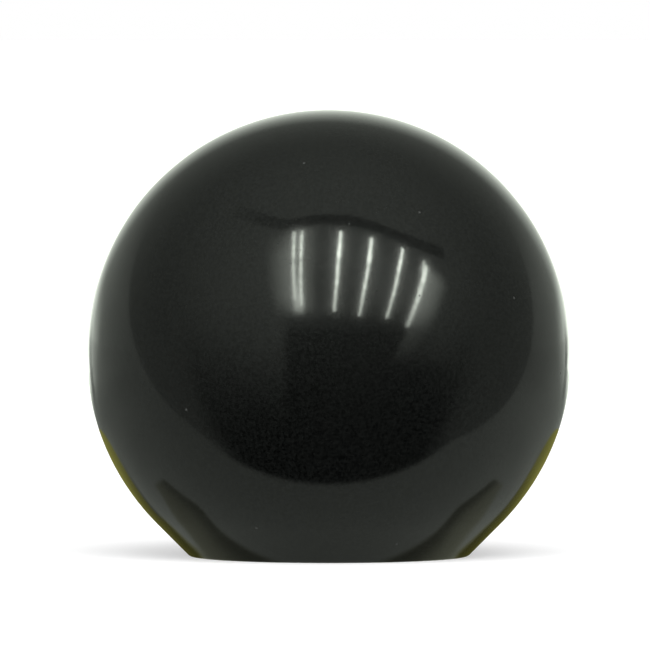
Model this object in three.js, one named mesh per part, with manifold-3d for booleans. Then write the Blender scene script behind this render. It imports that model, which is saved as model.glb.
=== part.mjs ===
// A ball knob for the threaded end of a lever: a polished thermoset ball moulded round a brass insert.
// Millimetres, +Z up. The origin is the centre of the flat face that the knob seats and stands on,
// and the ball's pole is straight above it. The insert's blind thread opens downwards in that face.

import * as THREE from "three";
import { mergeVertices } from "three/addons/utils/BufferGeometryUtils.js";
import Module from "manifold-3d";

// Ball: the sphere, the height over it, and the cone that leads from the sphere down to the flat face.
const BALL_DIAMETER = 50;
const KNOB_HEIGHT = 46;
const CONE_ANGLE = Math.PI / 4; // between the cone's side and the knob's axis
const SEAT_EDGE_RADIUS = 0.6;

// Insert: brass bar, with two serrated bands and a waist between them that lock it in the ball.
const INSERT_LENGTH = 28;
const INSERT_RADIUS = 8.75;
const WAIST_RADIUS = 7.75;
const SERRATION_TIP_RADIUS = 9.5;
const SERRATION_VALLEY_RADIUS = 8.95;
const SERRATIONS = 36;
const BAND_LENGTH = 8;
const BAND_STARTS = [3, 15];
const END_CHAMFER = 1.2;
const MOULDED_GAP = 0.05; // between the insert and the ball that was moulded round it

// Thread: M12, coarse, right-handed, tapped from the flat face into a drilled blind hole.
const THREAD_MAJOR_RADIUS = 6;
const THREAD_PITCH = 1.75;
const THREAD_MINOR_RADIUS = THREAD_MAJOR_RADIUS - 0.5412 * THREAD_PITCH;
const THREAD_DEPTH = 20;
const THREAD_RUNOUT = 1.4;
const FLANK_ANGLE = Math.PI / 6;
const DRILL_RADIUS = THREAD_MINOR_RADIUS - 0.04;
const DRILL_DEPTH = 22;
const DRILL_POINT_ANGLE = (59 * Math.PI) / 180; // half of the drill's point
const COUNTERSINK_RADIUS = 6.6;

// Facets.
const ROUND_STEPS = 72;
const HOLE_STEPS = 36;
const SPHERE_STEPS = 27;
const EDGE_STEPS = 4;
const PAST_FACE = 1; // how far a cutting solid reaches beyond the face that it opens
const MERGE_DISTANCE = 1e-4;

const wasm = await Module();
wasm.setup();

// A closed geometry as a solid that can be cut and joined.
function solidOf(geometry) {
  const bare = geometry.clone();
  bare.deleteAttribute("normal");
  bare.deleteAttribute("uv");
  const merged = mergeVertices(bare, MERGE_DISTANCE);
  return new wasm.Manifold(
    new wasm.Mesh({
      numProp: 3,
      vertProperties: merged.attributes.position.array,
      triVerts: new Uint32Array(merged.index.array),
    }),
  );
}

// A solid as a geometry again.
function geometryOf(solid) {
  const mesh = solid.getMesh();
  const geometry = new THREE.BufferGeometry();
  geometry.setAttribute("position", new THREE.BufferAttribute(mesh.vertProperties, mesh.numProp));
  geometry.setIndex(new THREE.BufferAttribute(mesh.triVerts, 1));
  geometry.computeVertexNormals();
  return geometry;
}

// A profile of [radius, height] pairs, from the bottom of the axis to its top, turned about Z.
function turned(profile, steps = ROUND_STEPS) {
  const points = profile.map(([radius, height]) => new THREE.Vector2(radius, height));
  return solidOf(new THREE.LatheGeometry(points, steps).rotateX(Math.PI / 2));
}

// Points of an arc in the profile, as [radius, height] pairs.
function arc(centreRadius, centreHeight, radius, fromAngle, toAngle, steps) {
  return Array.from({ length: steps + 1 }, (_, i) => {
    const angle = THREE.MathUtils.lerp(fromAngle, toAngle, i / steps);
    return [centreRadius + radius * Math.cos(angle), centreHeight + radius * Math.sin(angle)];
  });
}

// One band of straight serrations round the insert, `extra` larger all over.
function serratedBand(start, extra) {
  const outline = Array.from({ length: 2 * SERRATIONS }, (_, i) => {
    const radius = (i % 2 ? SERRATION_VALLEY_RADIUS : SERRATION_TIP_RADIUS) + extra;
    const angle = (i * Math.PI) / SERRATIONS;
    return new THREE.Vector2(radius * Math.cos(angle), radius * Math.sin(angle));
  });
  const depth = BAND_LENGTH + 2 * extra;
  const band = new THREE.ExtrudeGeometry(new THREE.Shape(outline), { depth, bevelEnabled: false });
  return solidOf(band.translate(0, 0, start - extra));
}

// The insert's outside, `extra` larger all over and starting at `bottom`.
function insertBlank(extra, bottom) {
  const body = INSERT_RADIUS + extra;
  const waist = WAIST_RADIUS + extra;
  const slope = INSERT_RADIUS - WAIST_RADIUS;
  const waistStart = BAND_STARTS[0] + BAND_LENGTH + extra;
  const waistEnd = BAND_STARTS[1] - extra;
  const top = INSERT_LENGTH + extra;
  const core = turned([
    [0, bottom],
    [body, bottom],
    [body, waistStart],
    [waist, waistStart + slope],
    [waist, waistEnd - slope],
    [body, waistEnd],
    [body, top - END_CHAMFER],
    [body - END_CHAMFER, top],
    [0, top],
  ]);
  return BAND_STARTS.reduce((blank, start) => blank.add(serratedBand(start, extra)), core);
}

// A rod whose surface is a right-handed thread, from `bottom` up, as one closed surface.
function threadedRod(bottom, turns) {
  const flank = (THREAD_MAJOR_RADIUS - THREAD_MINOR_RADIUS) * Math.tan(FLANK_ANGLE);
  const groove = THREAD_PITCH / 8;
  const stations = [
    [THREAD_MINOR_RADIUS, 0],
    [THREAD_MAJOR_RADIUS, flank],
    [THREAD_MAJOR_RADIUS, flank + groove],
    [THREAD_MINOR_RADIUS, 2 * flank + groove],
  ];
  const perTurn = stations.length;
  const last = turns * perTurn;
  const positions = [];
  const indices = [];
  const columns = [];
  for (let column = 0; column < HOLE_STEPS; column++) {
    const share = column / HOLE_STEPS;
    const angle = 2 * Math.PI * share;
    const rows = [];
    // The first column is one pitch longer, because the last one closes on it a pitch higher.
    for (let row = 0; row <= (column ? last : last + perTurn); row++) {
      const [radius, offset] = stations[row % perTurn];
      const height = bottom + THREAD_PITCH * (share + Math.floor(row / perTurn)) + offset;
      rows.push(positions.length / 3);
      positions.push(radius * Math.cos(angle), radius * Math.sin(angle), height);
    }
    columns.push(rows);
  }
  columns.push(columns[0].slice(perTurn));
  for (let column = 0; column < HOLE_STEPS; column++) {
    for (let row = 0; row < last; row++) {
      const [here, next] = [columns[column], columns[column + 1]];
      indices.push(here[row], next[row], next[row + 1]);
      indices.push(here[row], next[row + 1], here[row + 1]);
    }
  }
  // Each end is a fan from the axis to the helical rim and back down the step where the rim closes.
  for (const [row, up] of [[0, false], [last, true]]) {
    const rim = columns.slice(0, -1).map((rows) => rows[row]);
    for (let step = perTurn; step > 0; step--) rim.push(columns[0][row + step]);
    const centre = positions.length / 3;
    positions.push(0, 0, bottom + THREAD_PITCH * (row / perTurn + 0.5));
    rim.forEach((vertex, i) => {
      const following = rim[(i + 1) % rim.length];
      indices.push(centre, ...(up ? [vertex, following] : [following, vertex]));
    });
  }
  const geometry = new THREE.BufferGeometry();
  geometry.setAttribute("position", new THREE.Float32BufferAttribute(positions, 3));
  geometry.setIndex(indices);
  return solidOf(geometry);
}

// The space that drill, countersink and tap leave in the insert.
function tappedHole() {
  const drill = turned(
    [
      [0, -PAST_FACE],
      [COUNTERSINK_RADIUS + PAST_FACE, -PAST_FACE],
      [DRILL_RADIUS, COUNTERSINK_RADIUS - DRILL_RADIUS],
      [DRILL_RADIUS, DRILL_DEPTH],
      [0, DRILL_DEPTH + DRILL_RADIUS / Math.tan(DRILL_POINT_ANGLE)],
    ],
    HOLE_STEPS,
  );
  const tapReach = turned(
    [
      [0, -PAST_FACE / 2],
      [THREAD_MAJOR_RADIUS + PAST_FACE, -PAST_FACE / 2],
      [THREAD_MAJOR_RADIUS + PAST_FACE, THREAD_DEPTH],
      [DRILL_RADIUS - PAST_FACE, THREAD_DEPTH + THREAD_RUNOUT],
      [0, THREAD_DEPTH + THREAD_RUNOUT],
    ],
    HOLE_STEPS,
  );
  const rodBottom = -2 * THREAD_PITCH;
  const turns = Math.ceil((THREAD_DEPTH + THREAD_RUNOUT - rodBottom) / THREAD_PITCH);
  return threadedRod(rodBottom, turns).intersect(tapReach).add(drill);
}

// The ball's outside: the flat face, its small edge radius, the cone, and the sphere up to the pole.
function ballOutside() {
  const radius = BALL_DIAMETER / 2;
  const centreHeight = KNOB_HEIGHT - radius;
  const tangentRadius = radius * Math.cos(CONE_ANGLE);
  const tangentHeight = centreHeight - radius * Math.sin(CONE_ANGLE);
  const cornerRadius = tangentRadius - tangentHeight * Math.tan(CONE_ANGLE);
  const edgeRadius = SEAT_EDGE_RADIUS;
  const edgeCentre = cornerRadius - edgeRadius * Math.tan((Math.PI / 2 - CONE_ANGLE) / 2);
  const edge = arc(edgeCentre, edgeRadius, edgeRadius, -Math.PI / 2, -CONE_ANGLE, EDGE_STEPS);
  const sphere = arc(0, centreHeight, radius, -CONE_ANGLE, Math.PI / 2, SPHERE_STEPS);
  return turned([[0, 0], ...edge, ...sphere.slice(0, -1), [0, KNOB_HEIGHT]]);
}

function ballBody() {
  const geometry = geometryOf(ballOutside().subtract(insertBlank(MOULDED_GAP, -PAST_FACE)));
  const material = new THREE.MeshStandardMaterial({ color: 0x0d0e0d, roughness: 0.08, metalness: 0 });
  const mesh = new THREE.Mesh(geometry, material);
  mesh.name = "ball_body";
  return mesh;
}

function threadedInsert() {
  const geometry = geometryOf(insertBlank(0, 0).subtract(tappedHole()));
  const material = new THREE.MeshStandardMaterial({ color: 0xc9a04e, roughness: 0.32, metalness: 1 });
  const mesh = new THREE.Mesh(geometry, material);
  mesh.name = "threaded_insert";
  return mesh;
}

const knob = new THREE.Group();
knob.add(ballBody(), threadedInsert());

export default knob;
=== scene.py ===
import math

import bmesh
import bpy
from mathutils import Matrix, Vector


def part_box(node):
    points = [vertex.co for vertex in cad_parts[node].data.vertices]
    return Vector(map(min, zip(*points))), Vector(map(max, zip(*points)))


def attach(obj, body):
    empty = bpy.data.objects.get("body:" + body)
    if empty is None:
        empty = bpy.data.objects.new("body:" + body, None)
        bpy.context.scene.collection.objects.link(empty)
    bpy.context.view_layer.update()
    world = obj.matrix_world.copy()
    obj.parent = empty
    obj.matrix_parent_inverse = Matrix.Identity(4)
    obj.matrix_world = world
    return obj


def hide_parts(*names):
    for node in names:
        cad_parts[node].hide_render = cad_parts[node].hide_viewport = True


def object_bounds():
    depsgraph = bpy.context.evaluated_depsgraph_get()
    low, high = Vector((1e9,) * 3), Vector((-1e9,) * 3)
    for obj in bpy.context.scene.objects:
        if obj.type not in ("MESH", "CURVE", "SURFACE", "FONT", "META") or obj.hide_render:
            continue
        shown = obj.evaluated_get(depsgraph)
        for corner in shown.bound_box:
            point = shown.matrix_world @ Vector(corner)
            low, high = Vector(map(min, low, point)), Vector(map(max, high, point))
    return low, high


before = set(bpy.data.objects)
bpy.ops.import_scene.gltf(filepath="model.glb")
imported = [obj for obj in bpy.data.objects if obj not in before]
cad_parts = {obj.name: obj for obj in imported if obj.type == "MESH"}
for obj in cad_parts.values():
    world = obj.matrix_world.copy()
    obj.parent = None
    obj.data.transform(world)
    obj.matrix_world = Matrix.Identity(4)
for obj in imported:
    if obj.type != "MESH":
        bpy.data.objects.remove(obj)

# A ball knob: a polished black thermoset ball, moulded round a brass insert with a blind M12 thread.
# Metres, in the row's frame: the flat seat is at z = 0 and the ball's pole is straight above it.

MM = 0.001

# The knob's own dimensions, taken from the frame.
CAD_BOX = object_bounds()
RADIUS = (CAD_BOX[1].x - CAD_BOX[0].x) / 2
HEIGHT = CAD_BOX[1].z
CENTRE = Vector((0, 0, HEIGHT - RADIUS))
_, INSERT_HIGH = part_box("threaded_insert")
TIP_RADIUS = INSERT_HIGH.x
INSERT_LENGTH = INSERT_HIGH.z

# Ball.
CONE_ANGLE = math.radians(45)
SEAT_EDGE_RADIUS = 0.6 * MM
MOULDED_GAP = 0.05 * MM
SEAM_CHAMFER = 0.12 * MM
FLAT_MARGIN = 0.3 * MM  # between either edge of the flat and the next row on it

# Insert: two serrated bands with a waist between them.
INSERT_RADIUS = 8.75 * MM
WAIST_RADIUS = 7.75 * MM
VALLEY_RADIUS = 8.95 * MM
SERRATIONS = 36
SERRATION_SHAPE = (0.0, 0.06, 0.35, 0.75, 1.0, 0.75, 0.35, 0.06)  # valley to tip and back
BAND_LENGTH = 8 * MM
BAND_STARTS = (3 * MM, 15 * MM)
END_CHAMFER = 1.2 * MM

# Thread: M12, coarse, right-handed, with a countersink and a drilled end.
MAJOR_RADIUS = 6 * MM
PITCH = 1.75 * MM
THREAD_HEIGHT = 0.5412 * PITCH
MINOR_RADIUS = MAJOR_RADIUS - THREAD_HEIGHT
FLANK_ANGLE = math.radians(30)
CORNER_BREAK = 0.05 * MM
THREAD_DEPTH = 20 * MM
THREAD_RUNOUT = 1.4 * MM
DRILL_RADIUS = MINOR_RADIUS - 0.04 * MM
DRILL_DEPTH = 22 * MM
DRILL_POINT_ANGLE = math.radians(59)
COUNTERSINK_RADIUS = 6.6 * MM
THREAD_COLUMNS = 144
PAST_FACE = 1 * MM

# Facets of the turned surfaces: a whole number of columns for each serration.
COLUMNS = SERRATIONS * len(SERRATION_SHAPE)
SPHERE_ROWS = 120
EDGE_ROWS = 8
SHARP_ANGLE = math.radians(28)

# Camera: a long lens, a little above the horizon.
CAMERA_DISTANCE = 1.2
CAMERA_ELEVATION = math.radians(1.9)
AIM = Vector((-0.40 * MM, 0, CENTRE.z + 2.80 * MM))
FRAME_WIDTH = 66.95 * MM
SENSOR_WIDTH = 36.0
CLIP = (0.05, 20.0)


# ---------------------------------------------------------------------------------------------
# Mesh building
# ---------------------------------------------------------------------------------------------


def new_object(name, bm, smooth=True):
    """A mesh object from a bmesh, with edges over the sharp angle kept sharp."""
    bmesh.ops.recalc_face_normals(bm, faces=bm.faces)
    mesh = bpy.data.meshes.new(name)
    bm.to_mesh(mesh)
    bm.free()
    if smooth:
        mesh.shade_smooth()
        mesh.set_sharp_from_angle(angle=SHARP_ANGLE)
    obj = bpy.data.objects.new(name, mesh)
    bpy.context.scene.collection.objects.link(obj)
    return obj


def ring_of(bm, row, columns):
    """One row of a turned surface: a single vertex on the axis, or a vertex for each column.

    A row is (radius, height), where radius may be a function of the column's number.
    """
    radius, height = row
    if radius == 0:
        return [bm.verts.new((0, 0, height))] * columns
    ring = []
    for column in range(columns):
        angle = 2 * math.pi * column / columns
        r = radius(column) if callable(radius) else radius
        ring.append(bm.verts.new((r * math.cos(angle), r * math.sin(angle), height)))
    return ring


def turned(name, rows, columns=COLUMNS, smooth=True):
    """A closed turned body. Its rows run from the axis round the section and back to the axis."""
    bm = bmesh.new()
    rings = [ring_of(bm, row, columns) for row in rows]
    for low, high in zip(rings, rings[1:]):
        for i in range(columns):
            j = (i + 1) % columns
            corners = []
            for vert in (low[i], low[j], high[j], high[i]):
                if vert not in corners:
                    corners.append(vert)
            bm.faces.new(corners)
    return new_object(name, bm, smooth)


def arc(centre, radius, start, end, steps):
    """Points of an arc in the section, as (radius, height) rows, both ends included."""
    points = []
    for i in range(steps + 1):
        angle = start + (end - start) * i / steps
        points.append((centre[0] + radius * math.cos(angle), centre[1] + radius * math.sin(angle)))
    return points


def serrated(extra):
    """The radius of a serrated band at a column, `extra` larger all over."""

    def radius(column):
        share = SERRATION_SHAPE[column % len(SERRATION_SHAPE)]
        return VALLEY_RADIUS + (TIP_RADIUS - VALLEY_RADIUS) * share + extra

    return radius


def insert_side(extra):
    """The rows of the insert's side from its bottom edge up to its top corner, `extra` larger."""
    body = INSERT_RADIUS + extra
    waist = WAIST_RADIUS + extra
    slope = INSERT_RADIUS - WAIST_RADIUS
    waist_start = BAND_STARTS[0] + BAND_LENGTH + extra
    waist_end = BAND_STARTS[1] - extra
    top = INSERT_LENGTH + extra
    lower, upper = [
        [
            (body, start - extra),
            (serrated(extra), start - extra),
            (serrated(extra), start + BAND_LENGTH + extra),
            (body, start + BAND_LENGTH + extra),
        ]
        for start in BAND_STARTS
    ]
    return [
        *lower,
        (waist, waist_start + slope),
        (waist, waist_end - slope),
        *upper,
        (body, top - END_CHAMFER),
        (body - END_CHAMFER, top),
    ]


def make_ball():
    """The ball with its cone, its flat seat and the pocket that the insert fills."""
    tangent_radius = RADIUS * math.cos(CONE_ANGLE)
    tangent_height = CENTRE.z - RADIUS * math.sin(CONE_ANGLE)
    corner_radius = tangent_radius - tangent_height * math.tan(CONE_ANGLE)
    edge_radius = corner_radius - SEAT_EDGE_RADIUS * math.tan((math.pi / 2 - CONE_ANGLE) / 2)
    sphere = arc((0, CENTRE.z), RADIUS, math.pi / 2, -CONE_ANGLE, SPHERE_ROWS)
    edge = arc(
        (edge_radius, SEAT_EDGE_RADIUS), SEAT_EDGE_RADIUS, -CONE_ANGLE, -math.pi / 2, EDGE_ROWS
    )
    cone = [
        (
            sphere[-1][0] + (edge[0][0] - sphere[-1][0]) * i / EDGE_ROWS,
            sphere[-1][1] + (edge[0][1] - sphere[-1][1]) * i / EDGE_ROWS,
        )
        for i in range(1, EDGE_ROWS)
    ]
    mouth = INSERT_RADIUS + MOULDED_GAP
    seat = [
        (edge_radius - FLAT_MARGIN, 0),
        ((edge_radius + mouth) / 2, 0),
        (mouth + SEAM_CHAMFER + FLAT_MARGIN, 0),
        (mouth + SEAM_CHAMFER, 0),
        (mouth, SEAM_CHAMFER),
    ]
    pocket = insert_side(MOULDED_GAP)
    rows = [(0, HEIGHT), *sphere[1:], *cone, *edge, *seat, *pocket, (0, INSERT_LENGTH + MOULDED_GAP)]
    return turned("ball_visual", rows)


def thread_section():
    """One pitch of the thread as (radius, offset along the axis), with its corners broken."""
    flank = THREAD_HEIGHT * math.tan(FLANK_ANGLE)
    root = PITCH / 8
    out, along = CORNER_BREAK * math.cos(FLANK_ANGLE), CORNER_BREAK * math.sin(FLANK_ANGLE)
    rising = [
        (MINOR_RADIUS, -CORNER_BREAK),
        (MINOR_RADIUS + out, along),
        (MAJOR_RADIUS - out, flank - along),
        (MAJOR_RADIUS, flank + CORNER_BREAK),
    ]
    width = 2 * flank + root
    return rising + [(radius, width - offset) for radius, offset in reversed(rising)]


def make_thread_rod(bottom, turns):
    """A rod whose surface is the right-handed thread, closed by a fan at each end."""
    stations = thread_section()
    per_turn = len(stations)
    last = turns * per_turn
    bm = bmesh.new()
    columns = []
    for column in range(THREAD_COLUMNS):
        share = column / THREAD_COLUMNS
        angle = 2 * math.pi * share
        verts = []
        # The first column is one pitch longer, because the last one closes on it a pitch higher.
        for row in range((last if column else last + per_turn) + 1):
            radius, offset = stations[row % per_turn]
            height = bottom + PITCH * (share + row // per_turn) + offset
            verts.append(bm.verts.new((radius * math.cos(angle), radius * math.sin(angle), height)))
        columns.append(verts)
    columns.append(columns[0][per_turn:])
    for here, there in zip(columns, columns[1:]):
        for row in range(last):
            bm.faces.new((here[row], there[row], there[row + 1], here[row + 1]))
    for row in (0, last):
        rim = [verts[row] for verts in columns[:-1]]
        rim += [columns[0][row + step] for step in range(per_turn, 0, -1)]
        centre = bm.verts.new((0, 0, bottom + PITCH * (row / per_turn + 0.5)))
        for i, vert in enumerate(rim):
            bm.faces.new((centre, vert, rim[(i + 1) % len(rim)]))
    return new_object("thread_rod", bm, smooth=False)


def combine(target, tool, operation):
    """Cuts or joins `tool` into `target` and removes the tool."""
    step = target.modifiers.new(operation.lower(), "BOOLEAN")
    step.operation = operation
    step.solver = "MANIFOLD"
    step.object = tool
    depsgraph = bpy.context.evaluated_depsgraph_get()
    made = bpy.data.meshes.new_from_object(target.evaluated_get(depsgraph), depsgraph=depsgraph)
    target.modifiers.clear()
    old = target.data
    target.data = made
    made.name = old.name
    bpy.data.meshes.remove(old)
    bpy.data.objects.remove(tool)


def make_tapped_hole():
    """The space that the drill, the countersink and the tap leave."""
    reach = turned(
        "tap_reach",
        [
            (0, -PAST_FACE / 2),
            (MAJOR_RADIUS + PAST_FACE, -PAST_FACE / 2),
            (MAJOR_RADIUS + PAST_FACE, THREAD_DEPTH),
            (DRILL_RADIUS - PAST_FACE, THREAD_DEPTH + THREAD_RUNOUT),
            (0, THREAD_DEPTH + THREAD_RUNOUT),
        ],
        THREAD_COLUMNS,
        smooth=False,
    )
    drill = turned(
        "drill",
        [
            (0, -PAST_FACE),
            (COUNTERSINK_RADIUS + PAST_FACE, -PAST_FACE),
            (DRILL_RADIUS, COUNTERSINK_RADIUS - DRILL_RADIUS),
            (DRILL_RADIUS, DRILL_DEPTH),
            (0, DRILL_DEPTH + DRILL_RADIUS / math.tan(DRILL_POINT_ANGLE)),
        ],
        THREAD_COLUMNS,
        smooth=False,
    )
    bottom = -2 * PITCH
    turns = math.ceil((THREAD_DEPTH + THREAD_RUNOUT - bottom) / PITCH)
    hole = make_thread_rod(bottom, turns)
    combine(hole, reach, "INTERSECT")
    combine(hole, drill, "UNION")
    return hole


def make_insert():
    """The brass insert with its serrated bands and its tapped hole."""
    rows = [
        (0, 0),
        (INSERT_RADIUS - SEAM_CHAMFER, 0),
        (INSERT_RADIUS, SEAM_CHAMFER),
        *insert_side(0),
        (0, INSERT_LENGTH),
    ]
    insert = turned("insert_visual", rows, smooth=False)
    combine(insert, make_tapped_hole(), "DIFFERENCE")
    insert.data.shade_smooth()
    insert.data.set_sharp_from_angle(angle=SHARP_ANGLE)
    return insert


# ---------------------------------------------------------------------------------------------
# Materials
# ---------------------------------------------------------------------------------------------


class Nodes:
    """A short way to write a material's node tree."""

    def __init__(self, material):
        material.use_nodes = True
        self.tree = material.node_tree
        self.tree.nodes.clear()

    def add(self, kind, inputs=None, **settings):
        node = self.tree.nodes.new(kind)
        for key, value in settings.items():
            setattr(node, key, value)
        for key, value in (inputs or {}).items():
            self.put(node.inputs[key], value)
        return node

    def put(self, socket, value):
        if isinstance(value, bpy.types.NodeSocket):
            self.tree.links.new(value, socket)
        else:
            socket.default_value = value

    def math(self, operation, a, b=0.0, clamp=False):
        node = self.add("ShaderNodeMath", {0: a, 1: b}, operation=operation, use_clamp=clamp)
        return node.outputs[0]

    def product(self, first, *others):
        for other in others:
            first = self.math("MULTIPLY", first, other)
        return first

    def total(self, first, *others):
        for other in others:
            first = self.math("ADD", first, other)
        return first

    def less(self, a, b):
        return self.math("SUBTRACT", a, b)

    def size(self, value):
        """The value without its sign."""
        return self.math("ABSOLUTE", value)

    def blend(self, factor, a, b):
        """The number between a and b."""
        return self.total(self.product(self.less(1.0, factor), a), self.product(factor, b))

    def ramp(self, value, low, high, to_low=0.0, to_high=1.0, smooth=True):
        """`value` taken from low..high to to_low..to_high, clamped."""
        node = self.add(
            "ShaderNodeMapRange",
            {"Value": value, "From Min": low, "From Max": high, "To Min": to_low, "To Max": to_high},
            interpolation_type="SMOOTHSTEP" if smooth else "LINEAR",
        )
        return node.outputs["Result"]

    def mix(self, factor, a, b):
        """The colour between a and b."""
        node = self.add("ShaderNodeMix", data_type="RGBA")
        self.put(node.inputs[0], factor)
        self.put(node.inputs[6], a)
        self.put(node.inputs[7], b)
        return node.outputs[2]

    def noise(self, vector, scale, detail=2.0, roughness=0.5):
        node = self.add(
            "ShaderNodeTexNoise",
            {"Vector": vector, "Scale": scale, "Detail": detail, "Roughness": roughness},
        )
        return node.outputs["Fac"]

    def position(self):
        """The place on the surface, in the object's own metres."""
        return self.add("ShaderNodeTexCoord").outputs["Object"]

    def position_mm(self):
        """The place on the surface, in the object's own millimetres."""
        inputs = {0: self.position(), "Scale": 1 / MM}
        return self.add("ShaderNodeVectorMath", inputs, operation="SCALE").outputs[0]

    def toward(self, direction, way):
        """How closely a direction follows a way: 1 where it runs along it."""
        inputs = {0: direction, 1: way}
        return self.add("ShaderNodeVectorMath", inputs, operation="DOT_PRODUCT").outputs["Value"]

    def stretched(self, vector, scale, rotation):
        """The place turned and then scaled along each axis, for marks that run one way."""
        inputs = {"Vector": vector, "Scale": scale, "Rotation": rotation}
        return self.add("ShaderNodeMapping", inputs).outputs[0]

    def split(self, vector):
        return self.add("ShaderNodeSeparateXYZ", {0: vector}).outputs

    def from_axis(self, x, y):
        """How far (x, y) is from the object's own Z axis."""
        return self.math("SQRT", self.total(self.product(x, x), self.product(y, y)))

    def bump(self, height, distance, normal=None, strength=1.0):
        inputs = {"Height": height, "Distance": distance, "Strength": strength}
        if normal is not None:
            inputs["Normal"] = normal
        return self.add("ShaderNodeBump", inputs).outputs[0]

    def emission(self, colour, strength):
        return self.add("ShaderNodeEmission", {"Color": colour, "Strength": strength}).outputs[0]

    def shown_where(self, share, shader):
        """The shader where share is 1, and clear where it is 0."""
        clear = self.add("ShaderNodeBsdfTransparent").outputs[0]
        return self.add("ShaderNodeMixShader", {0: share, 1: clear, 2: shader}).outputs[0]

    def finish(self, shader):
        output = self.add("ShaderNodeOutputMaterial")
        self.tree.links.new(shader, output.inputs["Surface"])


def rgba(r, g, b):
    return (r, g, b, 1.0)


# Colours of the thermoset, polished and on its lathe-faced seat.
DEEP_BLACK = rgba(0.0012, 0.0014, 0.0013)
FILLER_BLACK = rgba(0.0064, 0.0072, 0.0066)
CLOUD_BLACK = rgba(0.0050, 0.0055, 0.0048)
SPECK_GREY = rgba(0.10, 0.105, 0.10)
FACED_DARK = rgba(0.009, 0.0095, 0.0088)
FACED_LIGHT = rgba(0.024, 0.0245, 0.023)

# Colours of the brass.
BRASS = rgba(0.80, 0.59, 0.29)
TARNISH = rgba(0.55, 0.36, 0.15)
THREAD_ROOT = rgba(0.20, 0.12, 0.05)
FLECK = rgba(0.25, 0.16, 0.07)

# Pitches of the fine marks, in mm, and how deep they are.
SEAT_RING_PITCH = 0.16
BRASS_RING_PITCH = 0.12
BRASS_FEED_PITCH = 0.15
SEAT_RING_DEPTH = 0.010 * MM
BRASS_MARK_DEPTH = 0.003 * MM
BRASS_GRAIN_DEPTH = 0.004 * MM
PEEL_DEPTH = 0.006 * MM
FINE_PEEL_DEPTH = 0.0012 * MM
HAIRLINE_DEPTH = 0.0004 * MM

# The thermoset's surface. A pair is the least and the most of it, or rings' hollows and crests.
PLASTIC_IOR = 1.5
COAT_ROUGHNESS = 0.075
UNDER_COAT_SPECULAR = 0.12
HAZE = (0.16, 0.26)
SEAT_ROUGHNESS = (0.50, 0.36)
LINE_ROUGHNESS = 0.12
SPECK_ROUGHNESS = 0.4
SPECK_SHARE = 0.14  # of the cells that could hold one

# The brass's surface, where it is clean and where it is tarnished, and what is added to that.
BRASS_ROUGHNESS = (0.24, 0.42)
ROOT_ROUGHNESS = 0.15
GRAIN_ROUGHNESS = 0.08


def hairlines(n, place, turn, density, width):
    """Fine polishing lines that run one way: 1 on a line and 0 off it."""
    along = n.stretched(place, (density * 0.02, density, density), turn)
    lines = n.noise(along, 1.0, detail=1.0)
    patch = n.ramp(n.noise(place, 0.11, detail=1.0), 0.45, 0.62)
    return n.product(n.ramp(lines, 0.72 - width, 0.74), patch)


def turning_marks(n, distance, wobble, pitch):
    """Even marks along a distance, from -1 to 1, which wander by the wobble."""
    return n.math("SINE", n.product(n.total(distance, wobble), 2 * math.pi / pitch))


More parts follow.
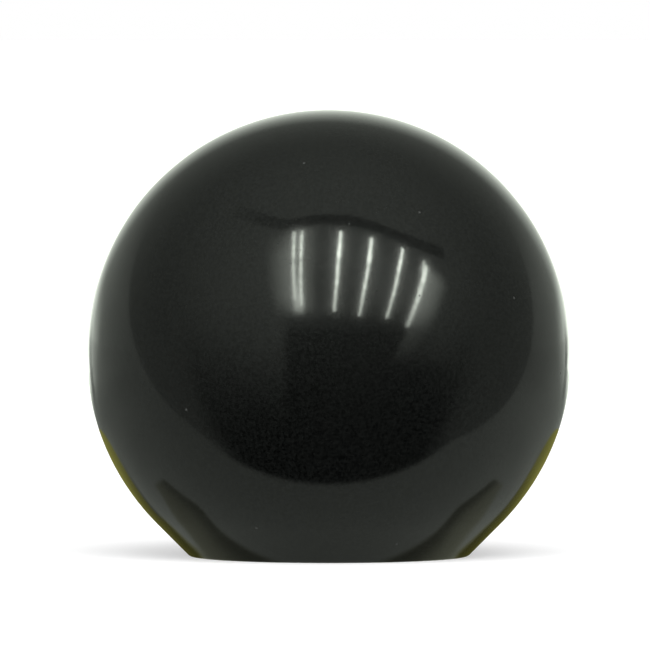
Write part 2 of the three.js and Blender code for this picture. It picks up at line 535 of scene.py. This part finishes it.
def thermoset_material():
    """Polished black phenolic: sharp gloss, faint haze and hairlines; a turned, duller seat."""
    material = bpy.data.materials.new("polished_black_thermoset")
    n = Nodes(material)
    place = n.position_mm()
    x, y, z = n.split(place)

    # The filler shows as a faint mottle in the black.
    mottle = n.noise(place, 3.2, detail=2.0, roughness=0.7)
    cloud = n.noise(place, 0.09, detail=2.0)
    black = n.mix(n.ramp(mottle, 0.30, 0.70), DEEP_BLACK, FILLER_BLACK)
    black = n.mix(n.ramp(cloud, 0.3, 0.75, 0.0, 0.35), black, CLOUD_BLACK)

    # Sparse specks of dust and filler that broke the polished skin.
    cells = n.add("ShaderNodeTexVoronoi", {"Vector": place, "Scale": 0.42})
    chosen = n.math("GREATER_THAN", n.split(cells.outputs["Color"])[0], 1 - SPECK_SHARE)
    speck = n.product(n.ramp(cells.outputs["Distance"], 0.075, 0.035), chosen)
    black = n.mix(n.product(speck, 0.5), black, SPECK_GREY)

    # The seat was faced on a lathe after moulding: fine rings, no gloss.
    seat = n.ramp(z, 0.03, 0.0)
    wobble = n.product(n.noise(place, 0.8, detail=3.0), 0.25)
    rings = turning_marks(n, n.from_axis(x, y), wobble, SEAT_RING_PITCH)
    rings = n.product(rings, n.ramp(n.noise(place, 0.45, detail=3.0), 0.3, 0.7, 0.25, 1.0))
    faced = n.mix(n.ramp(rings, -1.0, 1.0), FACED_DARK, FACED_LIGHT)
    black = n.mix(n.product(seat, 0.8), black, faced)

    # Under the coat the skin is hazy, and rougher along the hairlines and on the specks.
    one_way = hairlines(n, place, (0.4, 0.9, 0.2), 9.0, 0.05)
    other_way = hairlines(n, place, (1.7, 0.3, 1.1), 7.0, 0.04)
    lines = n.math("ADD", one_way, other_way, clamp=True)
    haze = n.ramp(n.noise(place, 0.16, detail=3.0), 0.35, 0.7, *HAZE)
    skin = n.total(haze, n.product(lines, LINE_ROUGHNESS), n.product(speck, SPECK_ROUGHNESS))
    rough = n.blend(seat, skin, n.ramp(rings, -1.0, 1.0, *SEAT_ROUGHNESS))
    gloss = n.less(1.0, n.math("ADD", seat, n.product(speck, 0.8), clamp=True))

    peel = n.bump(n.noise(place, 0.22, detail=1.0), PEEL_DEPTH)
    peel = n.bump(n.noise(place, 2.4, detail=1.0), FINE_PEEL_DEPTH, peel)
    fine = n.bump(lines, HAIRLINE_DEPTH, peel)
    surface = n.bump(n.product(rings, seat), SEAT_RING_DEPTH, fine)

    shader = n.add(
        "ShaderNodeBsdfPrincipled",
        {
            "Base Color": black,
            "Roughness": rough,
            "IOR": PLASTIC_IOR,
            "Specular IOR Level": UNDER_COAT_SPECULAR,
            "Coat Weight": gloss,
            "Coat Roughness": COAT_ROUGHNESS,
            "Coat IOR": PLASTIC_IOR,
            "Normal": surface,
            "Coat Normal": peel,
        },
    )
    n.finish(shader.outputs[0])
    return material


def brass_material():
    """Turned brass: rings on the face, faint tarnish, and darker roots in the thread."""
    material = bpy.data.materials.new("turned_brass")
    n = Nodes(material)
    place = n.position_mm()
    x, y, z = n.split(place)
    radius = n.from_axis(x, y)

    tarnish = n.ramp(n.noise(place, 0.35, detail=5.0, roughness=0.65), 0.42, 0.72)
    colour = n.mix(tarnish, BRASS, TARNISH)
    in_hole = n.product(n.ramp(radius, 6.7, 6.5), n.ramp(z, 0.2, 0.6))
    roots = n.product(in_hole, n.ramp(radius, 5.3, 5.95))
    colour = n.mix(n.product(roots, 0.65), colour, THREAD_ROOT)
    flecks = n.ramp(n.noise(place, 6.0, detail=2.0), 0.66, 0.72)
    colour = n.mix(n.product(flecks, 0.35), colour, FLECK)

    # Rings on the faced end, and the tool's feed marks along everything above it.
    wobble = n.product(n.noise(place, 1.2, detail=3.0), 0.10)
    rings = turning_marks(n, radius, wobble, BRASS_RING_PITCH)
    feed = turning_marks(n, z, wobble, BRASS_FEED_PITCH)
    marks = n.blend(n.ramp(z, 0.15, 0.05), feed, rings)
    rough = n.total(n.ramp(tarnish, 0.0, 1.0, *BRASS_ROUGHNESS), n.product(roots, ROOT_ROUGHNESS))
    rough = n.total(rough, n.product(n.noise(place, 3.0, detail=4.0), GRAIN_ROUGHNESS))
    marked = n.bump(marks, BRASS_MARK_DEPTH)

    shader = n.add(
        "ShaderNodeBsdfPrincipled",
        {
            "Base Color": colour,
            "Metallic": 1.0,
            "Roughness": rough,
            "Normal": n.bump(n.noise(place, 2.5, detail=6.0), BRASS_GRAIN_DEPTH, marked),
        },
    )
    n.finish(shader.outputs[0])
    return material


# ---------------------------------------------------------------------------------------------
# Stage: a pale floor, soft light, and cards that are seen only in the ball's reflections
# ---------------------------------------------------------------------------------------------

WHITE = rgba(1, 1, 1)
ROOM_TINT = rgba(0.975, 1.055, 0.935)
OLIVE = rgba(1.0, 0.98, 0.25)

# Floor and plain light.
FLOOR_RADIUS = 6.0
FLOOR_WHITE = rgba(0.62, 0.62, 0.62)
FLOOR_GLOW = 0.45
WORLD_STRENGTH = 1.0
SUN_STRENGTH = 1.3
SUN_ANGLE = math.radians(50)
SUN_WAY = Vector((0.1, -0.55, 1.0))

# The mirrored sheet, in mm: the radii of its dark arc are for its middle and for its two ends.
SHEET_FRONT = (-26.6, -25.0)  # it fades in between these, before the knob
BEND_LEFT, BEND_RIGHT = (45.0, 0.31), (31.0, 0.39)  # from where its front bends back, how steeply
ARC_CENTRE = 33.0  # behind the knob's axis
ARC_INSIDE = (41.2, 44.0)
ARC_OUTSIDE = (46.7, 48.6)

# How light the sheet is, and how much light its shadows leave.
SHEET_LIGHT = (0.28, 0.36)  # far to the left and far to the right
SHEET_BEHIND = 0.80  # as a share, well behind the knob
BEFORE_BACKDROP = (0.22, 1.10)  # from near to far
SOFT_SHADOW = 0.66  # as a share
ARC_EDGE_LIGHT = 0.105
ARC_LIGHT = (0.17, 0.225)  # inside it, on the left and on the right
CORE_LIGHT = (0.07, 0.22)  # from near to far
ARC_OLIVE = 0.25
HORIZON_LIGHT, HORIZON_REAR_LIGHT = 0.28, 0.50  # all round, and added straight behind the knob

# The mirrored strips beside the knob's lower half.
FRINGE_PLACE = 2 * MM  # behind the knob's axis
FRINGE_TOP = 13 * MM
FRINGE_GAP = 0.3 * MM
FRINGE_STEPS = 26
FRINGE_WIDTHS = ((-1, 5.4 * MM), (1, 6.4 * MM))  # on the left and on the right
FRINGE_LIGHT = (0.09, 0.22)  # at the bottom and near the top
FRINGE_BACK_LIGHT = (0.12, 0.20)

# The mirrored backdrop behind the knob.
BACKDROP_PLACE = 300 * MM  # behind the knob's axis
BACKDROP_CENTRE, BACKDROP_HALF_WIDTH = 9.0, 161.0  # mm
BACKDROP_OUTLINE = [(-0.20, 0.0), (0.22, 0.0), (0.22, 0.12), (-0.20, 0.12)]
BACKDROP_LIGHT = 1.9
BACKDROP_FOOT_LIGHT = (0.28, 0.08)  # on the left and on the right
ARCH_HEIGHT, ARCH_HALF_WIDTH = 88, 170  # mm

# The mirrored room: its even light, and what is added to that or, as a share, is left of it.
DOME_RADIUS = 3.0
ROOM_LIGHT = 0.165
LAMPS_WAY, LAMPS_LIGHT = (0.0, -0.75, 0.66), 0.235
REAR_WAY, REAR_LIGHT = (0.03, 0.994, 0.105), 0.56
SKYLINE_LIGHT = 0.46
WALL_LIGHT = 0.14
WALL_LEAN = (0.95, 0.60)  # on the left and on the right
WALL_EDGE = (0.235, 0.36)
DARK_SHAPE, DIM_SHAPE = 0.24, 0.45

# The mirrored edge of a hood, as ways from the ball: where it runs, and where its ends bend back
# and how sharply. It is darkest over the lamps.
HOOD_DISTANCE = 2.5
HOOD_START, HOOD_END, HOOD_STEPS = -0.56, 0.74, 56
HOOD_FORWARD = -0.383
HOOD_LEFT_BEND, HOOD_RIGHT_BEND = (-0.22, 3.2), (0.36, 1.1)
HOOD_EDGE_WIDTH = 0.095
HOOD_FADE = (-0.60, -0.15)  # where, on its left, it fades from the first light to the second
HOOD_LIGHT = (0.26, 0.105)

# The mirrored lamps, in a frame whose unit is their distance from the ball.
LAMP_DISTANCE = 0.6
LAMP_ELEVATION = math.radians(45) + CAMERA_ELEVATION
LAMP_TILT = math.radians(-3.4)
GLOW_OUTLINE = [(-1.0, -1.4), (2.0, -1.4), (2.0, 0.6), (-1.0, 0.6)]
GLOW_PLACE = 0.02  # before the tubes
TUBE_GLOW = 0.5  # round each tube
BANK_GLOW = 0.02  # all over the bank
PAIR_PLACE, PAIR_GLOW = -0.232, (1.2, 5.0)  # the reflector's light at its top and lower down
PAIR_RIGHT_PLACE, PAIR_RIGHT_GLOW = -0.150, 0.45
LEFT_GLOW, RIGHT_GLOW = 1.15, 1.8  # past the bank's ends
TUBES = (  # place across the bank, bottom, top, width, strength
    (-0.270, -0.370, 0.232, 0.022, 13.0),
    (-0.211, -0.425, 0.232, 0.022, 15.0),
    (0.073, -0.480, 0.232, 0.023, 25.0),
    (0.308, -0.500, 0.224, 0.025, 24.0),
    (0.590, -0.480, 0.231, 0.028, 23.0),
    (0.894, -0.530, 0.165, 0.062, 16.0),
    (0.858, 0.120, 0.222, 0.030, 12.0),
)


def reflection_only(obj):
    """Only mirror-like rays meet this card: it neither shows, lights the floor nor casts a shadow."""
    obj.visible_camera = False
    obj.visible_diffuse = False
    obj.visible_transmission = False
    obj.visible_volume_scatter = False
    obj.visible_shadow = False


def card_nodes(card):
    """Makes an object a reflection card, and starts the material that says what it shows."""
    reflection_only(card)
    material = bpy.data.materials.new(card.name)
    card.data.materials.append(material)
    return Nodes(material)


def flat_card(name, outline, place=Matrix.Identity(4)):
    """A flat sheet from its outline in its own XY plane."""
    bm = bmesh.new()
    bm.faces.new([bm.verts.new((x, y, 0)) for x, y in outline])
    obj = new_object(name, bm, smooth=False)
    obj.matrix_world = place
    return obj


def disc(radius, sides=96):
    return [
        (radius * math.cos(2 * math.pi * i / sides), radius * math.sin(2 * math.pi * i / sides))
        for i in range(sides)
    ]


def make_floor():
    """A white sweep that glows a little by itself, so that the knob's shadow stays faint."""
    floor = flat_card("floor", disc(FLOOR_RADIUS))
    floor.visible_glossy = False
    material = bpy.data.materials.new("pale_floor")
    n = Nodes(material)
    white = n.add("ShaderNodeBsdfDiffuse", {"Color": FLOOR_WHITE, "Roughness": 1.0}).outputs[0]
    glow = n.emission(WHITE, FLOOR_GLOW)
    n.finish(n.add("ShaderNodeAddShader", {0: white, 1: glow}).outputs[0])
    floor.data.materials.append(material)


def horizon_light(n, behind):
    """How bright the surroundings are at the horizon; `behind` is 1 straight behind the knob."""
    return n.total(HORIZON_LIGHT, n.ramp(behind, 0.70, 0.98, 0.0, HORIZON_REAR_LIGHT))


def far_sheet_light(n, x, y, reach):
    """The far sheet: it takes the horizon's tone, but before the backdrop it is dark, then light."""
    spread = n.total(24.6, n.product(y, 0.4325))
    edge = n.less(n.size(n.less(x, n.product(y, 0.0125))), spread)
    light = n.blend(
        n.ramp(edge, 5.0, -5.0),
        horizon_light(n, n.math("DIVIDE", y, reach)),
        n.ramp(reach, 150.0, 300.0, *BEFORE_BACKDROP),
    )
    # The feet of the backdrop's dark edges are mirrored in it.
    foot = n.ramp(n.size(n.math("DIVIDE", edge, n.math("MAXIMUM", y, 1.0))), 0.10, 0.04)
    return n.product(light, n.less(1.0, n.product(foot, n.ramp(y, 90.0, 160.0), 0.7)))


def make_ground_card():
    """What the ball reflects of the sheet that it stands on, which ends just before it."""
    n = card_nodes(flat_card("ground_card", disc(FLOOR_RADIUS)))
    x, y, _ = n.split(n.position_mm())
    side = n.size(x)
    reach = n.from_axis(x, y)

    # The sheet's front edge is straight before the knob, and further out it bends back.
    bend = n.total(
        n.product(n.math("MAXIMUM", n.less(x, BEND_RIGHT[0]), 0.0), BEND_RIGHT[1]),
        n.product(n.math("MAXIMUM", n.less(-BEND_LEFT[0], x), 0.0), BEND_LEFT[1]),
    )
    sheet = n.ramp(n.less(y, bend), *SHEET_FRONT)

    # The sheet is lighter towards the right, and a little darker behind the knob.
    near = n.product(n.ramp(x, -50.0, 70.0, *SHEET_LIGHT), n.ramp(y, -10.0, 60.0, 1.0, SHEET_BEHIND))
    away = n.ramp(reach, 80.0, 240.0)
    light = n.blend(away, near, far_sheet_light(n, x, y, reach))

    # The knob's soft shadow behind it.
    soft = n.ramp(n.less(side, n.product(y, 0.6)), 70.0, 5.0)
    soft = n.product(soft, n.ramp(y, -12.0, 4.0), n.less(1.0, away))
    light = n.product(light, n.blend(soft, 1.0, SOFT_SHADOW))

    # A dark arc of painted shadow before that, darkest along its outside.
    from_arc = n.from_axis(x, n.less(y, ARC_CENTRE))
    within = n.less(from_arc, n.ramp(side, 17.0, 28.0, *ARC_INSIDE))
    past_arc = n.less(from_arc, n.ramp(side, 12.0, 19.0, *ARC_OUTSIDE))
    arc = n.product(n.ramp(past_arc, 0.4, -0.4), n.ramp(within, 0.0, 1.4), n.ramp(side, 28.4, 26.8))
    arc = n.product(arc, n.ramp(y, 5.0, 0.0))
    arc_light = n.ramp(x, -20.0, 20.0, *ARC_LIGHT)
    light = n.blend(arc, light, n.ramp(past_arc, -0.5, -3.0, ARC_EDGE_LIGHT, arc_light))

    # The core of the shadow, round the knob's foot, which starts olive.
    core = n.ramp(n.less(side, n.product(y, 0.90)), 20.2, 18.2)
    core = n.product(core, n.ramp(y, -7.5, -5.0), n.ramp(reach, 90.0, 25.0))
    light = n.blend(core, light, n.ramp(y, -4.0, 45.0, *CORE_LIGHT))
    olive = n.total(n.product(core, n.ramp(y, 4.0, 2.0)), n.product(arc, ARC_OLIVE))

    n.finish(n.shown_where(sheet, n.emission(n.mix(olive, ROOM_TINT, OLIVE), light)))


def outside_radius(z):
    """The knob's radius at height z."""
    tangent = CENTRE.z - RADIUS * math.sin(CONE_ANGLE)
    if z > tangent:
        return math.sqrt(RADIUS**2 - (z - CENTRE.z) ** 2)
    return RADIUS * math.cos(CONE_ANGLE) - (tangent - z) * math.tan(CONE_ANGLE)


def fringe_card(name, side, width, place, colour, light):
    """An upright strip close beside the knob's lower half, narrowing towards its top."""
    bm = bmesh.new()
    edges = []
    for i in range(FRINGE_STEPS + 1):
        share = i / FRINGE_STEPS
        z = FRINGE_TOP * share
        inner = math.sqrt(outside_radius(z) ** 2 - FRINGE_PLACE**2)
        outer = inner + FRINGE_GAP + width * (1 - share**3) ** 0.7
        edges.append([bm.verts.new((side * x, place, z)) for x in (inner + FRINGE_GAP, outer)])
    for here, there in zip(edges, edges[1:]):
        bm.faces.new((here[0], here[1], there[1], there[0]))
    n = card_nodes(new_object(name, bm, smooth=False))
    z = n.split(n.position_mm())[2]
    n.finish(n.emission(colour, n.ramp(z, 0.0, 9.0, *light)))


def make_fringe_cards():
    """The olive light low down at either side, a painted reflection of the knob's shadow behind it,
    with a plain back towards the rear.
    """
    for side, width in FRINGE_WIDTHS:
        hand = "left" if side < 0 else "right"
        fringe_card(f"fringe_{hand}", side, width, FRINGE_PLACE, OLIVE, FRINGE_LIGHT)
        back = FRINGE_PLACE + FRINGE_GAP
        fringe_card(f"fringe_back_{hand}", side, width, back, ROOM_TINT, FRINGE_BACK_LIGHT)


def make_backdrop_card():
    """A softly lit backdrop behind the knob, with an arched top and a dark foot at either side."""
    upright = Matrix.Translation((0, BACKDROP_PLACE, 0)) @ Matrix.Rotation(math.pi / 2, 4, "X")
    n = card_nodes(flat_card("backdrop_card", BACKDROP_OUTLINE, upright))
    x, z, _ = n.split(n.position_mm())
    across = n.size(n.less(x, BACKDROP_CENTRE))
    share_across = n.product(across, 1 / ARCH_HALF_WIDTH)
    arch = n.total(n.product(z, 1 / ARCH_HEIGHT), n.math("POWER", share_across, 2.0))
    inside = n.ramp(across, BACKDROP_HALF_WIDTH + 2, BACKDROP_HALF_WIDTH - 20)
    lit = n.product(n.ramp(arch, 1.25, 0.55), inside)
    foot = n.ramp(n.size(n.less(across, BACKDROP_HALF_WIDTH)), 32.0, 8.0)
    foot = n.product(foot, n.ramp(z, 62.0, 4.0))
    light = n.blend(foot, BACKDROP_LIGHT, n.ramp(x, -100.0, 100.0, *BACKDROP_FOOT_LIGHT))
    n.finish(n.shown_where(n.math("MAXIMUM", lit, foot), n.emission(ROOM_TINT, light)))


def make_surround_card():
    """What the ball reflects of the room: a dim dome with a glow round the lamps and behind the knob.

    In front of the knob it darkens downwards, down to the floor before the sheet.
    """
    bm = bmesh.new()
    bmesh.ops.create_uvsphere(bm, u_segments=64, v_segments=32, radius=DOME_RADIUS)
    dome = new_object("surround_card", bm, smooth=False)
    dome.location = CENTRE
    n = card_nodes(dome)
    direction = n.add("ShaderNodeVectorMath", {0: n.position()}, operation="NORMALIZE").outputs[0]
    x, y, z = n.split(direction)
    across = n.math("DIVIDE", x, n.from_axis(x, y))

    glow = n.ramp(n.toward(direction, LAMPS_WAY), 0.12, 0.95, 0.0, LAMPS_LIGHT)
    behind = n.ramp(n.toward(direction, REAR_WAY), 0.856, 1.0, 0.0, REAR_LIGHT, smooth=False)
    skyline = n.product(n.ramp(n.size(z), 0.14, 0.0), n.ramp(y, 0.74, 0.88), SKYLINE_LIGHT)
    light = n.total(ROOM_LIGHT, glow, behind, skyline)

    # The paler wall behind the knob leans back from an edge at either side.
    lean = n.product(z, n.ramp(x, -0.5, 0.5, *WALL_LEAN))
    wall = n.less(n.less(y, lean), n.ramp(x, -0.5, 0.5, *WALL_EDGE))
    wall = n.product(n.ramp(wall, -0.015, 0.015), n.ramp(z, 0.50, 0.15))
    light = n.total(light, n.product(wall, WALL_LIGHT))

    # The front of the room darkens towards the floor, less so far out to the sides.
    height = n.ramp(z, -0.75, 0.40)
    height = n.math("MAXIMUM", height, n.ramp(n.size(across), 0.82, 0.98))
    light = n.product(light, n.blend(n.ramp(y, 0.45, 0.05), 1.0, height))

    # Something dark stands below the lamps, and something less dark to the right of it.
    ahead = n.ramp(y, 0.0, -0.3)
    dark = n.product(n.ramp(across, -0.40, -0.30), n.ramp(across, 0.85, 0.52), n.ramp(z, 0.44, 0.16))
    light = n.product(light, n.blend(n.product(dark, ahead), 1.0, DARK_SHAPE))
    dim = n.product(n.ramp(across, 0.52, 0.64), n.ramp(across, 0.90, 0.78), n.ramp(z, 0.02, -0.14))
    light = n.product(light, n.blend(n.product(dim, ahead), 1.0, DIM_SHAPE))
    n.finish(n.emission(ROOM_TINT, light))


def hood_edge_direction(x):
    """The way from the ball to the edge of the dark hood over it, at `x` to the right."""
    (left_start, left_bend), (right_start, right_bend) = HOOD_LEFT_BEND, HOOD_RIGHT_BEND
    left, right = max(0.0, left_start - x), max(0.0, x - right_start)
    y = HOOD_FORWARD + left_bend * left**2 + right_bend * right**2
    return Vector((x, y, math.sqrt(1 - x * x - y * y)))


def make_hood_edge():
    """The dark edge of the hood, which runs over the lamps from the left to the right."""
    bm = bmesh.new()
    sides = []
    step = (HOOD_END - HOOD_START) / HOOD_STEPS
    for i in range(HOOD_STEPS + 1):
        x = HOOD_START + step * i
        here = hood_edge_direction(x)
        along = hood_edge_direction(x + step / 2) - hood_edge_direction(x - step / 2)
        outward = along.cross(here).normalized() * HOOD_EDGE_WIDTH / 2
        sides.append([bm.verts.new((here + outward * sign) * HOOD_DISTANCE) for sign in (1, -1)])
    for here, there in zip(sides, sides[1:]):
        bm.faces.new((here[0], here[1], there[1], there[0]))
    edge = new_object("hood_edge", bm, smooth=False)
    edge.location = CENTRE
    n = card_nodes(edge)
    x = n.split(n.position())[0]
    low, high = [way * HOOD_DISTANCE for way in HOOD_FADE]
    n.finish(n.emission(ROOM_TINT, n.ramp(x, low, high, *HOOD_LIGHT)))


def lamp_frame():
    """The plane that the lamps lie in: before and above the ball, square to the way to it."""
    toward = Vector((0, -math.cos(LAMP_ELEVATION), math.sin(LAMP_ELEVATION)))
    up = Vector((0, math.sin(LAMP_ELEVATION), math.cos(LAMP_ELEVATION)))
    right = Vector((1, 0, 0))
    turn = Matrix((right, up, -toward)).transposed().to_4x4()
    turn.translation = CENTRE + toward * LAMP_DISTANCE
    return turn @ Matrix.Scale(LAMP_DISTANCE, 4) @ Matrix.Rotation(LAMP_TILT, 4, "Z")


def stadium(x, low, high, width, steps=8):
    """The outline of a lamp tube: a long strip with round ends."""
    points = []
    for end, start in ((high, 0.0), (low, math.pi)):
        for i in range(steps + 1):
            angle = start + math.pi * i / steps
            points.append((x + width / 2 * math.cos(angle), end + width / 2 * math.sin(angle)))
    return points


def make_lamp_tube(number, place, x, low, high, width, strength):
    """One tube, brighter towards its top and a little uneven along its length."""
    n = card_nodes(flat_card(f"lamp_tube_{number}", stadium(x, low, high, width), place))
    along = n.split(n.position())[1]
    inputs = {"W": along, "Scale": 16.0, "Detail": 1.0}
    uneven = n.add("ShaderNodeTexNoise", inputs, noise_dimensions="1D").outputs[0]
    power = n.product(n.ramp(along, -0.5, 0.1, 0.48, 1.0), n.ramp(uneven, 0.3, 0.7, 0.7, 1.25))
    n.finish(n.emission(ROOM_TINT, n.product(power, strength)))


def make_lamp_glow(place):
    """A clear sheet just before the tubes, which adds the glow round them and past each end."""
    place = place @ Matrix.Translation((0, 0, GLOW_PLACE))
    n = card_nodes(flat_card("lamp_panel", GLOW_OUTLINE, place))
    u, v, _ = n.split(n.position())
    light = n.product(n.ramp(u, -0.33, -0.26), n.ramp(u, 0.96, 0.90), BANK_GLOW)
    for tube in TUBES:
        near_tube = n.ramp(n.size(n.less(u, tube[0])), 0.11, 0.01)
        light = n.total(light, n.product(near_tube, TUBE_GLOW))

    # The pair of tubes on the left lights a reflector between them, the more so lower down.
    pair = n.ramp(n.size(n.less(u, PAIR_PLACE)), 0.065, 0.020)
    light = n.total(light, n.product(pair, n.ramp(v, -0.10, -0.40, *PAIR_GLOW)))
    beside = n.ramp(n.size(n.less(u, PAIR_RIGHT_PLACE)), 0.085, 0.02)
    light = n.total(light, n.product(beside, PAIR_RIGHT_GLOW))
    light = n.product(light, n.product(n.ramp(v, 0.31, 0.20), n.ramp(v, -0.55, -0.42)))

    # Past the bank's ends.
    left = n.product(n.ramp(u, -0.52, -0.32, 0.0, LEFT_GLOW), n.ramp(u, -0.25, -0.28))
    left = n.product(left, n.ramp(v, 0.30, -0.02), n.ramp(v, -0.60, -0.28))
    right = n.product(n.ramp(u, 1.38, 0.94, 0.0, RIGHT_GLOW), n.ramp(u, 0.87, 0.94))
    right = n.product(right, n.ramp(v, 0.26, 0.06))
    lower = n.ramp(v, -1.3, -0.5, 0.0, 0.22)
    right = n.product(right, n.math("MAXIMUM", n.ramp(v, -0.75, -0.15), lower))
    glow = n.emission(ROOM_TINT, n.total(light, left, right))
    clear = n.add("ShaderNodeBsdfTransparent").outputs[0]
    n.finish(n.add("ShaderNodeAddShader", {0: clear, 1: glow}).outputs[0])


def make_lamp_bank():
    place = lamp_frame()
    for number, tube in enumerate(TUBES, 1):
        make_lamp_tube(number, place, *tube)
    make_lamp_glow(place)


def make_sun():
    """Soft light from before and above, which isn't itself seen in the ball."""
    data = bpy.data.lights.new("soft_sun", "SUN")
    data.energy = SUN_STRENGTH
    data.angle = SUN_ANGLE
    light = bpy.data.objects.new("soft_sun", data)
    bpy.context.scene.collection.objects.link(light)
    light.rotation_mode = "QUATERNION"
    light.rotation_quaternion = SUN_WAY.to_track_quat("Z", "Y")
    light.visible_glossy = False


def make_world():
    world = bpy.data.worlds.new("surround")
    bpy.context.scene.world = world
    world.use_nodes = True
    background = world.node_tree.nodes["Background"]
    background.inputs["Color"].default_value = WHITE
    background.inputs["Strength"].default_value = WORLD_STRENGTH


def make_camera():
    data = bpy.data.cameras.new("camera")
    data.sensor_width = SENSOR_WIDTH
    data.lens = SENSOR_WIDTH * CAMERA_DISTANCE / FRAME_WIDTH
    data.clip_start, data.clip_end = CLIP
    camera = bpy.data.objects.new("camera", data)
    bpy.context.scene.collection.objects.link(camera)
    back = Vector((0, -math.cos(CAMERA_ELEVATION), math.sin(CAMERA_ELEVATION)))
    camera.location = AIM + back * CAMERA_DISTANCE
    camera.rotation_mode = "QUATERNION"
    camera.rotation_quaternion = back.to_track_quat("Z", "Y")
    bpy.context.scene.camera = camera


def make_stage():
    make_floor()
    make_ground_card()
    make_fringe_cards()
    make_backdrop_card()
    make_surround_card()
    make_hood_edge()
    make_lamp_bank()
    make_sun()
    make_world()
    scene = bpy.context.scene
    scene.view_settings.view_transform = "Standard"
    scene.cycles.use_denoising = True


make_camera()

ball = make_ball()
ball.data.materials.append(thermoset_material())
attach(ball, "root")
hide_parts("ball_body")

insert = make_insert()
insert.data.materials.clear()
insert.data.materials.append(brass_material())
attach(insert, "root")
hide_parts("threaded_insert")

make_stage()
